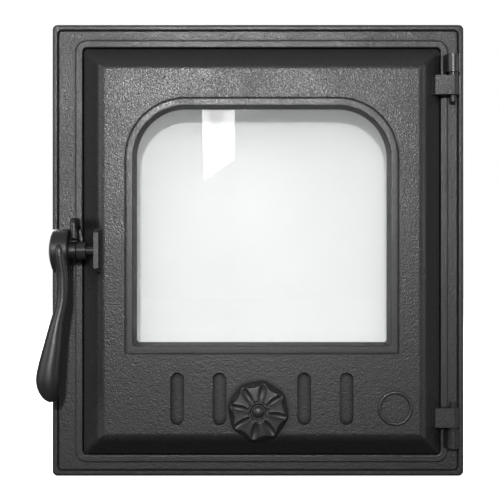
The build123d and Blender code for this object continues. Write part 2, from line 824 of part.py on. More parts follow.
def write(name, shape):
    if isinstance(shape, (list, tuple)):
        shape = Compound(children=list(shape))
    shape.label = name
    export_step(shape, os.path.join("parts", name + ".step"))
    print(name)


def main():
    os.makedirs("parts", exist_ok=True)
    write("frame", make_frame())
    write("upper_hinge_pin", make_pin(1))
    write("lower_hinge_pin", make_pin(-1))
    write("door_leaf", make_leaf())
    write("door_rope_seal", make_rope_seal())
    write("window_glass", make_glass())
    write("glass_seal_tape", make_tape())
    for number, (x, z) in enumerate(clip_boss_places(), 1):
        write(f"glass_clip_{number}", make_clip(x, z))
    clip_seat = clip_boss_back + clip_thickness
    write("clip_screws", [make_screw(x, z, clip_seat, clip_screw_length)
                          for x, z in clip_boss_places()])
    upper, lower = guide_places()
    write("damper_guide_upper", make_guide(upper))
    write("damper_guide_lower", make_guide(lower))
    write("guide_screws", [make_screw(x, z, guide_back, guide_screw_length)
                           for x, z in guide_screw_places()])
    write("damper_plate", make_damper_plate())
    write("damper_bolt", make_damper_bolt())
    write("damper_washer", make_damper_washer())
    write("damper_spacer", make_spacer())
    write("rosette_knob", make_rosette())
    write("latch_spindle", make_spindle())
    write("latch_handle", make_handle())
    write("hub_set_screw", make_set_screw())


main()
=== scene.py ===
from functools import partial
import math
import bmesh
import bpy
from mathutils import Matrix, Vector


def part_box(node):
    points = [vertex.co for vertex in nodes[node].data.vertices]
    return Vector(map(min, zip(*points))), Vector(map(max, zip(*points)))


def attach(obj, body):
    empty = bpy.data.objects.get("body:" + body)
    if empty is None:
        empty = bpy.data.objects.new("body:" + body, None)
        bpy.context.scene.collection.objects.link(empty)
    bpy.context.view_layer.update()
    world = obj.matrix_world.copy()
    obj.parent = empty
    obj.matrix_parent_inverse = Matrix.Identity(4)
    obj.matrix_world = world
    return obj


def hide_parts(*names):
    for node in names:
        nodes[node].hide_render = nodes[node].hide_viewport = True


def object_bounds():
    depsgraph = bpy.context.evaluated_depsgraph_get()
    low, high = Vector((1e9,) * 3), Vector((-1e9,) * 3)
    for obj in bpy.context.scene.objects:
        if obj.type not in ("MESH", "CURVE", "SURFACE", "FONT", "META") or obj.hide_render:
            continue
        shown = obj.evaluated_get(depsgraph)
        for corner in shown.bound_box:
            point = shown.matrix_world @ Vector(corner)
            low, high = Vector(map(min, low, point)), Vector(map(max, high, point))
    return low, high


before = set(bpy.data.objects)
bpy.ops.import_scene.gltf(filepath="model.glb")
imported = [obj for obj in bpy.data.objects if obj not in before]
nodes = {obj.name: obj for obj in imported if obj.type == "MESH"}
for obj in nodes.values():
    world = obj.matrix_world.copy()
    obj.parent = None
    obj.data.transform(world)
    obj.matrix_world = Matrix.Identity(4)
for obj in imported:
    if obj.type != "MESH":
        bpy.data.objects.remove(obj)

cadLow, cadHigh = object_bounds()
mm = 0.001
noiseRange = (0.3, 0.7)  # where most of a noise texture's values lie
floatSocket, colourSocket, vectorSocket = "NodeSocketFloat", "NodeSocketColor", "NodeSocketVector"


# Node helpers

def setInput(tree, socket, value):
    if isinstance(value, bpy.types.NodeSocket):
        tree.links.new(value, socket)
    else:
        socket.default_value = value


def addNode(tree, kind, values=None, **settings):
    node = tree.nodes.new(kind)
    for name, value in settings.items():
        setattr(node, name, value)
    for socket, value in (values or {}).items():
        setInput(tree, node.inputs[socket], value)
    return node


def calc(tree, operation, first, second=0.0, third=None):
    values = {0: first, 1: second}
    if third is not None:
        values[2] = third
    return addNode(tree, "ShaderNodeMath", values, operation=operation).outputs[0]


def vectorCalc(tree, operation, first, second=None, scale=None):
    values = {0: first}
    if second is not None:
        values[1] = second
    if scale is not None:
        values["Scale"] = scale
    node = addNode(tree, "ShaderNodeVectorMath", values, operation=operation)
    return node.outputs[1 if operation in ("LENGTH", "DISTANCE") else 0]


def blendColours(tree, factor, first, second):
    node = addNode(tree, "ShaderNodeMix", {0: factor}, data_type="RGBA")
    setInput(tree, node.inputs[6], first)
    setInput(tree, node.inputs[7], second)
    return node.outputs[2]


def spread(tree, value, fromLow, fromHigh, toLow, toHigh):
    return addNode(tree, "ShaderNodeMapRange",
                   {0: value, 1: fromLow, 2: fromHigh, 3: toLow, 4: toHigh}).outputs[0]


def noise(tree, where, scale, detail=2.0, roughness=0.5):
    return addNode(tree, "ShaderNodeTexNoise",
                   {"Vector": where, "Scale": scale, "Detail": detail, "Roughness": roughness}).outputs[0]


def split(tree, vector):
    return addNode(tree, "ShaderNodeSeparateXYZ", {0: vector}).outputs


def join(tree, x, y, z):
    return addNode(tree, "ShaderNodeCombineXYZ", {0: x, 1: y, 2: z}).outputs[0]


def objectPlace(tree):
    return addNode(tree, "ShaderNodeTexCoord").outputs["Object"]


def grey(level, warmth=0.0):
    return (level * (1 + warmth), level, level * (1 - warmth), 1)


# Shared shader groups

def newGroup(name, inputs, outputs):
    group = bpy.data.node_groups.new(name, "ShaderNodeTree")
    for socketName, kind, value in inputs:
        socket = group.interface.new_socket(socketName, in_out="INPUT", socket_type=kind)
        socket.default_value = value
    for socketName, kind in outputs:
        group.interface.new_socket(socketName, in_out="OUTPUT", socket_type=kind)
    return group, group.nodes.new("NodeGroupInput").outputs, group.nodes.new("NodeGroupOutput").inputs


castPattern = {"fine": 1.3, "coarse": 0.36, "pit": 0.3,  # scales, as shares of the grains' scale
               "pitEdge": (0.06, 0.22), "pitPatches": 210.0, "pitRarity": (0.55, 0.68),
               "clouds": 16.0, "grainShade": (0.5, 1.5), "dust": grey(0.17, 0.03),
               "cloudSmoothing": -0.1, "smoothest": 0.3, "coarseHeight": 0.5}


# Sand-cast skin under thin black stove paint: rounded grains, a few open
# pits, faint cloudy patches where the paint lies thicker
def buildCastSkin(pattern):
    group, given, out = newGroup(
        "castSkin",
        [("Where", vectorSocket, (0, 0, 0)), ("Paint", colourSocket, grey(0.04)),
         ("Grains per metre", floatSocket, 900.0), ("Clouding", floatSocket, 0.25),
         ("Dust", floatSocket, 0.1), ("Roughness", floatSocket, 0.5), ("Speckle", floatSocket, 0.1)],
        [("Colour", colourSocket), ("Roughness", floatSocket), ("Height", floatSocket)])
    do = partial(calc, group)
    where, scale = given["Where"], given["Grains per metre"]
    grains = noise(group, where, scale, 2.0, 0.55)
    fine = noise(group, where, do("MULTIPLY", scale, pattern["fine"]), 0.0)
    coarse = noise(group, where, do("MULTIPLY", scale, pattern["coarse"]), 1.0)
    pits = addNode(group, "ShaderNodeTexVoronoi",
                   {"Vector": where, "Scale": do("MULTIPLY", scale, pattern["pit"])}).outputs[0]
    pitted = spread(group, pits, *pattern["pitEdge"], 1.0, 0.0)
    rare = spread(group, noise(group, where, pattern["pitPatches"]), *pattern["pitRarity"], 0.0, 1.0)
    pitted = do("MULTIPLY", pitted, rare)
    cloudy = spread(group, noise(group, where, pattern["clouds"], 3.0, 0.6), *noiseRange, -0.5, 0.5)
    level = do("MULTIPLY_ADD", cloudy, given["Clouding"], 1.0)
    level = do("MULTIPLY", level, spread(group, grains, *noiseRange, *pattern["grainShade"]))
    painted = vectorCalc(group, "SCALE", given["Paint"], scale=level)
    dusty = do("MULTIPLY", spread(group, coarse, 0.5, 0.75, 0.0, 1.0), given["Dust"])
    setInput(group, out["Colour"], blendColours(group, dusty, painted, pattern["dust"]))
    rough = do("MULTIPLY_ADD", cloudy, pattern["cloudSmoothing"], given["Roughness"])
    speckle = do("MULTIPLY", spread(group, fine, *noiseRange, -0.5, 0.5), given["Speckle"])
    rough = do("MAXIMUM", do("ADD", rough, speckle), pattern["smoothest"])
    setInput(group, out["Roughness"], rough)
    height = do("SUBTRACT", do("MULTIPLY_ADD", coarse, pattern["coarseHeight"], grains), pitted)
    setInput(group, out["Height"], height)
    return group


steelPattern = {"stains": 45.0, "stainEdge": (0.45, 0.75), "stain": (0.13, 0.1, 0.08, 1),
                "stainRoughness": 0.3, "lineShade": (0.82, 1.12), "lineRoughness": (-0.06, 0.06)}


# Bare or plated steel: lines of rolling or turning, faint stains
def buildSteelSkin(pattern):
    group, given, out = newGroup(
        "steelSkin",
        [("Where", vectorSocket, (0, 0, 0)), ("Steel", colourSocket, grey(0.5)),
         ("Along", vectorSocket, (60, 1500, 1500)), ("Stain", floatSocket, 0.3),
         ("Roughness", floatSocket, 0.35)],
        [("Colour", colourSocket), ("Roughness", floatSocket), ("Height", floatSocket)])
    do = partial(calc, group)
    brushed = noise(group, vectorCalc(group, "MULTIPLY", given["Where"], given["Along"]), 1.0, 3.0, 0.6)
    stains = noise(group, given["Where"], pattern["stains"], 4.0, 0.65)
    stained = do("MULTIPLY", spread(group, stains, *pattern["stainEdge"], 0.0, 1.0), given["Stain"])
    shade = spread(group, brushed, *noiseRange, *pattern["lineShade"])
    lined = vectorCalc(group, "SCALE", given["Steel"], scale=shade)
    setInput(group, out["Colour"], blendColours(group, stained, lined, pattern["stain"]))
    rough = do("MULTIPLY_ADD", stained, pattern["stainRoughness"], given["Roughness"])
    rough = do("ADD", rough, spread(group, brushed, *noiseRange, *pattern["lineRoughness"]))
    setInput(group, out["Roughness"], rough)
    setInput(group, out["Height"], brushed)
    return group


shadeAndWearPattern = {"corner": 0.45, "open": 0.95, "shadeDarkness": 0.85, "shadeRoughness": 0.4,
                   "crestRise": 0.0008, "crestGrain": 0.35}


# Painted shade in grooves and corners, where little sky is open: the paint darkens and grows rougher
# there; raised edges are rubbed smoother
def buildShadeAndWear(pattern):
    group, given, out = newGroup(
        "shadeAndWear",
        [("Where", vectorSocket, (0, 0, 0)), ("Colour", colourSocket, grey(0.04)),
         ("Roughness", floatSocket, 0.5), ("Open sky", floatSocket, 1.0), ("Soot", floatSocket, 0.8),
         ("Proud beyond", floatSocket, -1.0), ("Rubbed", floatSocket, 0.06),
         ("Height", floatSocket, 0.0)],
        [("Colour", colourSocket), ("Roughness", floatSocket), ("Height", floatSocket)])
    do = partial(calc, group)
    # Painted shade: the paint darkens, and its roughness rises, where the occlusion finds little open sky
    closed = spread(group, given["Open sky"], pattern["corner"], pattern["open"], 1.0, 0.0)
    paintedShade = do("MULTIPLY", closed, given["Soot"])
    bright = do("SUBTRACT", 1.0, do("MULTIPLY", paintedShade, pattern["shadeDarkness"]))
    setInput(group, out["Colour"], vectorCalc(group, "SCALE", given["Colour"], scale=bright))
    past = do("SUBTRACT", given["Proud beyond"], split(group, given["Where"])[1])
    crest = spread(group, past, 0.0, pattern["crestRise"], 0.0, 1.0)
    calm = spread(group, crest, 0.0, 1.0, 1.0, pattern["crestGrain"])
    setInput(group, out["Height"], do("MULTIPLY", given["Height"], calm))
    rough = do("MULTIPLY_ADD", paintedShade, pattern["shadeRoughness"], given["Roughness"])
    setInput(group, out["Roughness"], do("SUBTRACT", rough, do("MULTIPLY", crest, given["Rubbed"])))
    return group


castSkin = buildCastSkin(castPattern)
steelSkin = buildSteelSkin(steelPattern)
shadeAndWear = buildShadeAndWear(shadeAndWearPattern)


# Finishes of the castings and the steel parts

def blankMaterial(name, preview):
    material = bpy.data.materials.new(name)
    material.use_nodes = True
    material.diffuse_color = preview
    tree = material.node_tree
    tree.nodes.clear()
    return material, tree


def finishMaterial(tree, shader):
    addNode(tree, "ShaderNodeOutputMaterial", {0: shader.outputs[0]})


# The crest of the window's bead is dressed flat, so its rounded edges shade
# almost as the flat does
def flatCrest(tree, place, facing, crest):
    spot = split(tree, place)
    sideways = calc(tree, "ABSOLUTE", calc(tree, "SUBTRACT", spot[0], crest["middle"]))
    inside = calc(tree, "MULTIPLY", calc(tree, "LESS_THAN", sideways, crest["half"]),
                  calc(tree, "GREATER_THAN", spot[2], crest["foot"]))
    proud = calc(tree, "MULTIPLY", inside, spread(tree, spot[1], *crest["rise"], 0.0, crest["amount"]))
    front = addNode(tree, "ShaderNodeVectorTransform", {0: (0, -1, 0)}, vector_type="NORMAL",
                    convert_from="OBJECT", convert_to="WORLD").outputs[0]
    mixed = addNode(tree, "ShaderNodeMix", {0: proud, 4: facing, 5: front}, data_type="VECTOR").outputs[1]
    return vectorCalc(tree, "NORMALIZE", mixed)


def castMaterial(name, look):
    material, tree = blankMaterial(name, look["paint"])
    place = objectPlace(tree)
    skin = addNode(tree, "ShaderNodeGroup",
                   {"Where": place, "Paint": look["paint"], "Grains per metre": look["grainsPerMetre"],
                    "Clouding": look["clouding"], "Dust": look["dust"], "Roughness": look["roughness"],
                    "Speckle": look["speckle"]}, node_tree=castSkin)
    # Ambient occlusion marks the grooves and corners that take painted shade
    sky = addNode(tree, "ShaderNodeAmbientOcclusion", {"Distance": look["shadeReach"]},
                  samples=6).outputs["AO"]
    shadedAndWorn = addNode(tree, "ShaderNodeGroup",
                   {"Where": place, "Colour": skin.outputs["Colour"],
                    "Roughness": skin.outputs["Roughness"], "Height": skin.outputs["Height"],
                    "Open sky": sky, "Soot": look["soot"], "Proud beyond": look["proudBeyond"],
                    "Rubbed": look["rubbed"]}, node_tree=shadeAndWear)
    facing = addNode(tree, "ShaderNodeBevel", {"Radius": look["edgeRound"]}, samples=4).outputs[0]
    if "crest" in look:
        facing = flatCrest(tree, place, facing, look["crest"])
    bump = addNode(tree, "ShaderNodeBump",
                   {"Strength": look["grain"], "Distance": look["grainDepth"], "Filter Width": 0.5,
                    "Height": shadedAndWorn.outputs["Height"], "Normal": facing})
    finishMaterial(tree, addNode(tree, "ShaderNodeBsdfPrincipled", {
        "Base Color": shadedAndWorn.outputs["Colour"], "Roughness": shadedAndWorn.outputs["Roughness"],
        "Specular IOR Level": look["gloss"], "Normal": bump.outputs[0]}))
    return material


def steelMaterial(name, look):
    material, tree = blankMaterial(name, look["steel"])
    skin = addNode(tree, "ShaderNodeGroup",
                   {"Where": objectPlace(tree), "Steel": look["steel"], "Along": look["along"],
                    "Stain": look["stain"], "Roughness": look["roughness"]}, node_tree=steelSkin)
    bump = addNode(tree, "ShaderNodeBump", {"Strength": look["lines"], "Distance": look["lineDepth"],
                                            "Height": skin.outputs["Height"]})
    finishMaterial(tree, addNode(tree, "ShaderNodeBsdfPrincipled", {
        "Base Color": skin.outputs["Colour"], "Roughness": skin.outputs["Roughness"],
        "Metallic": look["metal"], "Normal": bump.outputs[0]}))
    return material


# Each cast look sets the amount and the reach of its painted shade in grooves and corners
castLooks = {
    "frameIron": {"paint": grey(0.02), "grainsPerMetre": 700.0, "grain": 0.8, "grainDepth": 0.0004,
                  "clouding": 0.25, "dust": 0.05, "roughness": 0.44, "gloss": 1.0, "edgeRound": 0.0004,
                  "speckle": 0.17, "soot": 0.8, "shadeReach": 0.004, "proudBeyond": -0.0162,
                  "rubbed": 0.05},
    "leafIron": {"paint": grey(0.02), "grainsPerMetre": 760.0, "grain": 0.8, "grainDepth": 0.0004,
                 "clouding": 0.22, "dust": 0.05, "roughness": 0.435, "gloss": 1.0, "edgeRound": 0.0004,
                 "speckle": 0.17, "soot": 0.85, "shadeReach": 0.0055, "proudBeyond": -0.0324,
                 "rubbed": 0.01, "crest": {"middle": 0.0036, "half": 0.138, "foot": -0.104,
                                           "rise": (-0.0322, -0.0328), "amount": 0.9}},
    "damperIron": {"paint": grey(0.016), "grainsPerMetre": 900.0, "grain": 0.8, "grainDepth": 0.0004,
                   "clouding": 0.2, "dust": 0.1, "roughness": 0.47, "gloss": 0.9, "edgeRound": 0.0003,
                   "speckle": 0.2, "soot": 1.0, "shadeReach": 0.006, "proudBeyond": -1.0, "rubbed": 0.0},
    "knobIron": {"paint": grey(0.022), "grainsPerMetre": 1300.0, "grain": 0.28, "grainDepth": 0.0004,
                 "clouding": 0.2, "dust": 0.03, "roughness": 0.44, "gloss": 0.9, "edgeRound": 0.0003,
                 "speckle": 0.08, "soot": 0.7, "shadeReach": 0.003, "proudBeyond": -1.0, "rubbed": 0.0},
    "handleIron": {"paint": grey(0.016), "grainsPerMetre": 1100.0, "grain": 0.3, "grainDepth": 0.0004,
                   "clouding": 0.25, "dust": 0.03, "roughness": 0.4, "gloss": 0.9, "edgeRound": 0.0004,
                   "speckle": 0.08, "soot": 0.7, "shadeReach": 0.003, "proudBeyond": -1.0,
                   "rubbed": 0.0},
}
steelLooks = {
    "pinSteel": {"steel": grey(0.04), "along": (1500, 1500, 60), "stain": 0.15, "roughness": 0.3,
                 "lines": 0.3, "lineDepth": 0.0001, "metal": 0.0},
    "sheetSteel": {"steel": grey(0.42), "along": (70, 1400, 1400), "stain": 0.35, "roughness": 0.38,
                   "lines": 0.3, "lineDepth": 0.0001, "metal": 1.0},
    "screwSteel": {"steel": grey(0.5, 0.04), "along": (900, 900, 900), "stain": 0.25,
                   "roughness": 0.32, "lines": 0.2, "lineDepth": 0.0001, "metal": 1.0},
}
materials = {name: castMaterial(name, look) for name, look in castLooks.items()}
materials.update({name: steelMaterial(name, look) for name, look in steelLooks.items()})


# Glass, tape and rope

glassLook = {"preview": (0.9, 0.95, 0.93, 0.3), "tint": (0.985, 0.995, 0.99, 1), "roughness": 0.0,
             "index": 1.5, "film": (0.86, 0.87, 0.87, 1), "filmScale": 9.0, "filmEdge": (0.45, 0.8),
             "filmMost": 0.06, "shadow": (0.93, 0.94, 0.94, 1)}


def glassMaterial(look):
    material, tree = blankMaterial("fireGlass", look["preview"])
    film = noise(tree, objectPlace(tree), look["filmScale"], 3.0, 0.6)
    film = spread(tree, film, *look["filmEdge"], 0.0, look["filmMost"])
    glaze = addNode(tree, "ShaderNodeBsdfPrincipled",
                    {"Base Color": blendColours(tree, film, look["tint"], look["film"]),
                     "Roughness": look["roughness"], "IOR": look["index"], "Metallic": 0.0,
                     "Transmission Weight": 1.0})
    clear = addNode(tree, "ShaderNodeBsdfTransparent", {"Color": look["shadow"]})
    rays = addNode(tree, "ShaderNodeLightPath")
    finishMaterial(tree, addNode(tree, "ShaderNodeMixShader", {
        0: rays.outputs["Is Shadow Ray"], 1: glaze.outputs[0], 2: clear.outputs[0]}))
    return material


tapeLook = {"yarn": grey(0.16, 0.02), "gap": grey(0.05), "threadsPerMetre": 900.0, "fuzz": 2600.0,
            "fuzzLift": 0.6, "relief": 0.7, "depth": 0.0004, "roughness": (0.8, 0.95), "sheen": 0.2}


def tapeMaterial(look):
    material, tree = blankMaterial("glassTape", look["yarn"])
    do = partial(calc, tree)
    place = objectPlace(tree)
    spot = split(tree, place)
    turns = math.pi * look["threadsPerMetre"]
    across, along = (do("SINE", do("MULTIPLY", spot[axis], turns)) for axis in (0, 2))
    weave = do("MULTIPLY_ADD", do("MULTIPLY", across, along), 0.5, 0.5)
    fuzz = noise(tree, place, look["fuzz"], 3.0)
    lift = do("MULTIPLY_ADD", fuzz, look["fuzzLift"], weave)
    colour = blendColours(tree, spread(tree, lift, 0.2, 1.3, 0.0, 1.0), look["gap"], look["yarn"])
    bump = addNode(tree, "ShaderNodeBump",
                   {"Strength": look["relief"], "Distance": look["depth"], "Height": lift})
    finishMaterial(tree, addNode(tree, "ShaderNodeBsdfPrincipled", {
        "Base Color": colour, "Roughness": spread(tree, fuzz, *noiseRange, *look["roughness"]),
        "Sheen Weight": look["sheen"], "Normal": bump.outputs[0]}))
    return material


ropeLook = {"yarn": (0.6, 0.59, 0.55, 1), "soot": (0.26, 0.25, 0.23, 1), "fibres": 3200.0,
            "clouds": 60.0, "cloudEdge": (0.42, 0.8), "cloudMost": 0.6, "fibreEdge": (0.3, 0.6),
            "fibreMost": 0.5, "relief": 0.8, "depth": 0.0003, "roughness": (0.82, 0.97), "sheen": 0.3}


def ropeMaterial(look):
    material, tree = blankMaterial("ropeSeal", look["yarn"])
    place = objectPlace(tree)
    fibres = noise(tree, place, look["fibres"], 4.0, 0.65)
    clouds = noise(tree, place, look["clouds"], 3.0, 0.6)
    smoked = spread(tree, clouds, *look["cloudEdge"], 0.0, look["cloudMost"])
    # Painted shade: the yarn darkens towards the soot colour where the fibres sink; the smoky clouds are
    # soot
    gapShade = spread(tree, fibres, *look["fibreEdge"], look["fibreMost"], 0.0)
    colour = blendColours(tree, smoked, look["yarn"], look["soot"])
    colour = blendColours(tree, gapShade, colour, look["soot"])
    bump = addNode(tree, "ShaderNodeBump",
                   {"Strength": look["relief"], "Distance": look["depth"], "Height": fibres})
    finishMaterial(tree, addNode(tree, "ShaderNodeBsdfPrincipled", {
        "Base Color": colour, "Roughness": spread(tree, fibres, *noiseRange, *look["roughness"]),
        "Sheen Weight": look["sheen"], "Normal": bump.outputs[0]}))
    return material


materials["fireGlass"] = glassMaterial(glassLook)
materials["glassTape"] = tapeMaterial(tapeLook)
materials["ropeSeal"] = ropeMaterial(ropeLook)
print("materials:", len(materials))

# Each solid takes its finish. Only the rope and the rosette knob are made anew
finishes = {
    "frame": "frameIron", "upper_hinge_pin": "pinSteel", "lower_hinge_pin": "pinSteel",
    "door_leaf": "leafIron", "door_rope_seal": "ropeSeal", "window_glass": "fireGlass",
    "glass_seal_tape": "glassTape", "glass_clip_1": "sheetSteel", "glass_clip_2": "sheetSteel",
    "glass_clip_3": "sheetSteel", "glass_clip_4": "sheetSteel", "clip_screws": "screwSteel",
    "damper_guide_upper": "sheetSteel", "damper_guide_lower": "sheetSteel",
    "guide_screws": "screwSteel", "latch_spindle": "pinSteel", "latch_handle": "handleIron",
    "hub_set_screw": "screwSteel", "damper_plate": "damperIron", "damper_bolt": "screwSteel",
    "damper_washer": "screwSteel", "damper_spacer": "pinSteel", "rosette_knob": "knobIron",
}
for name, finish in finishes.items():
    piece = nodes[name]
    piece.data.materials.clear()
    piece.data.materials.append(materials[finish])
print("finishes given:", len(finishes))


# Geometry node helpers

socketKinds = {int: "NodeSocketInt", float: floatSocket, Vector: vectorSocket}


def labelFor(key):  # fluteDepth becomes Flute depth
    return "".join(" " + letter.lower() if letter.isupper() else letter for letter in key).capitalize()


def newGeometryTree(name, settings):  # each setting is a named input
    tree = bpy.data.node_groups.new(name, "GeometryNodeTree")
    for key, value in settings.items():
        tree.interface.new_socket(labelFor(key), in_out="INPUT", socket_type=socketKinds[type(value)])
    tree.interface.new_socket("Geometry", in_out="OUTPUT", socket_type="NodeSocketGeometry")
    inputs = tree.nodes.new("NodeGroupInput").outputs
    return tree, {key: inputs[labelFor(key)] for key in settings}


def endTree(tree, geometry, material):
    whole = addNode(tree, "GeometryNodeRealizeInstances", {0: geometry}).outputs[0]
    whole = addNode(tree, "GeometryNodeSetShadeSmooth",
                    {"Geometry": whole, "Shade Smooth": True}).outputs[0]
    painted = addNode(tree, "GeometryNodeSetMaterial", {"Geometry": whole, "Material": material})
    addNode(tree, "NodeGroupOutput", {0: painted.outputs[0]})


def growPiece(name, tree, settings, material):  # runs the tree once and keeps its plain mesh
    holder = bpy.data.objects.new(name + "Grower", bpy.data.meshes.new(name + "Start"))
    bpy.context.scene.collection.objects.link(holder)
    grower = holder.modifiers.new("grow", "NODES")
    grower.node_group = tree
    sockets = {item.name: item.identifier for item in tree.interface.items_tree
               if item.in_out == "INPUT"}
    for key, value in settings.items():
        grower[sockets[labelFor(key)]] = value
    holder.update_tag()
    bpy.context.view_layer.update()
    seen = holder.evaluated_get(bpy.context.evaluated_depsgraph_get())
    mesh = bpy.data.meshes.new_from_object(seen)
    holder.modifiers.remove(grower)
    bpy.data.objects.remove(holder)
    mesh.name = name
    mesh.materials.clear()
    mesh.materials.append(material)
    piece = bpy.data.objects.new(name, mesh)
    bpy.context.scene.collection.objects.link(piece)
    return piece


def faceOutwards(piece, weld=0.02 * mm):
    shape = bmesh.new()
    shape.from_mesh(piece.data)
    bmesh.ops.remove_doubles(shape, verts=shape.verts, dist=weld)
    bmesh.ops.recalc_face_normals(shape, faces=shape.faces)
    shape.to_mesh(piece.data)
    shape.free()


def ringProfile(tree, sides, radius):
    return addNode(tree, "GeometryNodeCurvePrimitiveCircle",
                   {"Resolution": sides, "Radius": radius}, mode="RADIUS").outputs[0]


# Braided rope in the channel of the leaf: as many strands turn to the left
# as to the right, and they weave over and under each other

ropeShape = {"strandsEachWay": 7, "turns": 62.0, "strandRadius": 0.78 * mm, "orbit": 3.05 * mm,
             "weave": 0.14 * mm, "coreRadius": 2.7 * mm, "corner": 8.0 * mm, "cornerPoints": 12,
             "strandSides": 5, "coreSides": 12}
ropeStep = 1.7 * mm  # between the points of a strand


def buildStrands(tree, given, loop, way):
    do = partial(calc, tree)
    line = addNode(tree, "GeometryNodeMeshLine", {"Count": given["points"]}).outputs[0]
    line = addNode(tree, "GeometryNodeMeshToCurve", {0: line}).outputs[0]
    copies = addNode(tree, "GeometryNodeDuplicateElements",
                     {"Geometry": line, "Amount": given["strandsEachWay"]}, domain="SPLINE")
    number = copies.outputs["Duplicate Index"]
    index = addNode(tree, "GeometryNodeSplineParameter").outputs["Index"]
    share = do("DIVIDE", index, given["points"])
    place = addNode(tree, "GeometryNodeSampleCurve", {"Curves": loop, "Factor": share},
                    mode="FACTOR", use_all_curves=True)
    outwards = vectorCalc(tree, "CROSS_PRODUCT", place.outputs["Tangent"], (0, 1, 0))
    start = do("DIVIDE", do("MULTIPLY", number, 2 * math.pi), given["strandsEachWay"])
    turned = do("MULTIPLY", do("MULTIPLY", share, given["turns"]), 2 * math.pi)
    angle = do("MULTIPLY_ADD", turned, way, start)
    crossing = do("MULTIPLY", turned, given["strandsEachWay"])
    lift = do("COSINE", do("MULTIPLY_ADD", number, math.pi, crossing))
    reach = do("MULTIPLY_ADD", lift, do("MULTIPLY", given["weave"], way), given["orbit"])
    side = vectorCalc(tree, "SCALE", outwards, scale=do("MULTIPLY", reach, do("COSINE", angle)))
    rise = join(tree, 0.0, do("MULTIPLY", reach, do("SINE", angle)), 0.0)
    spot = vectorCalc(tree, "ADD", side, rise)
    spot = vectorCalc(tree, "ADD", spot, place.outputs["Position"])
    strand = addNode(tree, "GeometryNodeSetPosition",
                     {"Geometry": copies.outputs["Geometry"], "Position": spot}).outputs[0]
    strand = addNode(tree, "GeometryNodeSetSplineCyclic",
                     {"Geometry": strand, "Cyclic": True}).outputs[0]
    yarn = ringProfile(tree, given["strandSides"], given["strandRadius"])
    return addNode(tree, "GeometryNodeCurveToMesh", {"Curve": strand, "Profile Curve": yarn}).outputs[0]


def buildRopeTree(settings, material):
    tree, given = newGeometryTree("ropeBraid", settings)
    loop = addNode(tree, "GeometryNodeCurvePrimitiveQuadrilateral",
                   {"Width": given["width"], "Height": given["height"]}).outputs[0]
    loop = addNode(tree, "GeometryNodeFilletCurve",
                   {"Curve": loop, "Count": given["cornerPoints"], "Radius": given["corner"]},
                   mode="POLY").outputs[0]
    loop = addNode(tree, "GeometryNodeTransform",
                   {"Geometry": loop, "Translation": given["middle"],
                    "Rotation": (math.pi / 2, 0, 0)}).outputs[0]
    core = ringProfile(tree, given["coreSides"], given["coreRadius"])
    branches = [buildStrands(tree, given, loop, way) for way in (1, -1)]
    branches.append(addNode(tree, "GeometryNodeCurveToMesh",
                            {"Curve": loop, "Profile Curve": core}).outputs[0])
    bundle = tree.nodes.new("GeometryNodeJoinGeometry")
    for branch in branches:
        tree.links.new(branch, bundle.inputs[0])
    endTree(tree, bundle.outputs[0], material)
    return tree


ropeLow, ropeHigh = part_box("door_rope_seal")
ropeRound = ropeShape["orbit"] + ropeShape["strandRadius"] + ropeShape["weave"]
ropeWide = ropeHigh.x - ropeLow.x - 2 * ropeRound
ropeTall = ropeHigh.z - ropeLow.z - 2 * ropeRound
ropeShape.update({"width": ropeWide, "height": ropeTall, "middle": (ropeLow + ropeHigh) / 2,
                  "points": int(2 * (ropeWide + ropeTall) / ropeStep)})
ropeSeal = growPiece("ropeSeal", buildRopeTree(ropeShape, materials["ropeSeal"]), ropeShape,
                     materials["ropeSeal"])
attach(ropeSeal, "leaf")
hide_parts("door_rope_seal")
print("rope faces:", len(ropeSeal.data.polygons))


# Rosette knob: a polar net whose rings run over the front, round the rim,
# across the back and into the bore for the stud

rosetteShape = {
    "radius": 29.1 * mm, "dip": 0.15, "flare": 0.95 * mm, "flareDip": 0.055, "blunt": 0.012,
    "lobes": 8, "turn": math.radians(34), "rings": 150, "spokes": 320,
    "face": 10.8 * mm, "sag": 0.9 * mm, "rimStart": 0.93, "rimDrop": 1.5 * mm, "rimPower": 2.6,
    "fluteDepth": 2.3 * mm, "fluteWidth": 3.5 * mm, "fluteMiddle": 19.8 * mm,
    "fluteReach": 9.6 * mm, "fluteBlend": 0.12, "flutePower": 0.8,
    "lipHeight": 0.35 * mm, "lipPlace": 1.25, "lipSharpness": -18.0,
    "ring": 8.3 * mm, "ringHeight": 1.3 * mm, "ringWidth": 1.15 * mm, "wellReach": 2.6,
    "dome": 5.7 * mm, "domeHeight": 3.0 * mm, "well": 1.4 * mm,
    "bore": 3.05 * mm, "boreDepth": 6.0 * mm, "flareHeight": 0.45,
    # shares of the net at which the front, flare, side, back and bore end
    "frontEnd": 0.8, "flareEnd": 0.84, "sideEnd": 0.89, "backEnd": 0.93, "boreEnd": 0.97,
}
netWeld = 0.01 * mm


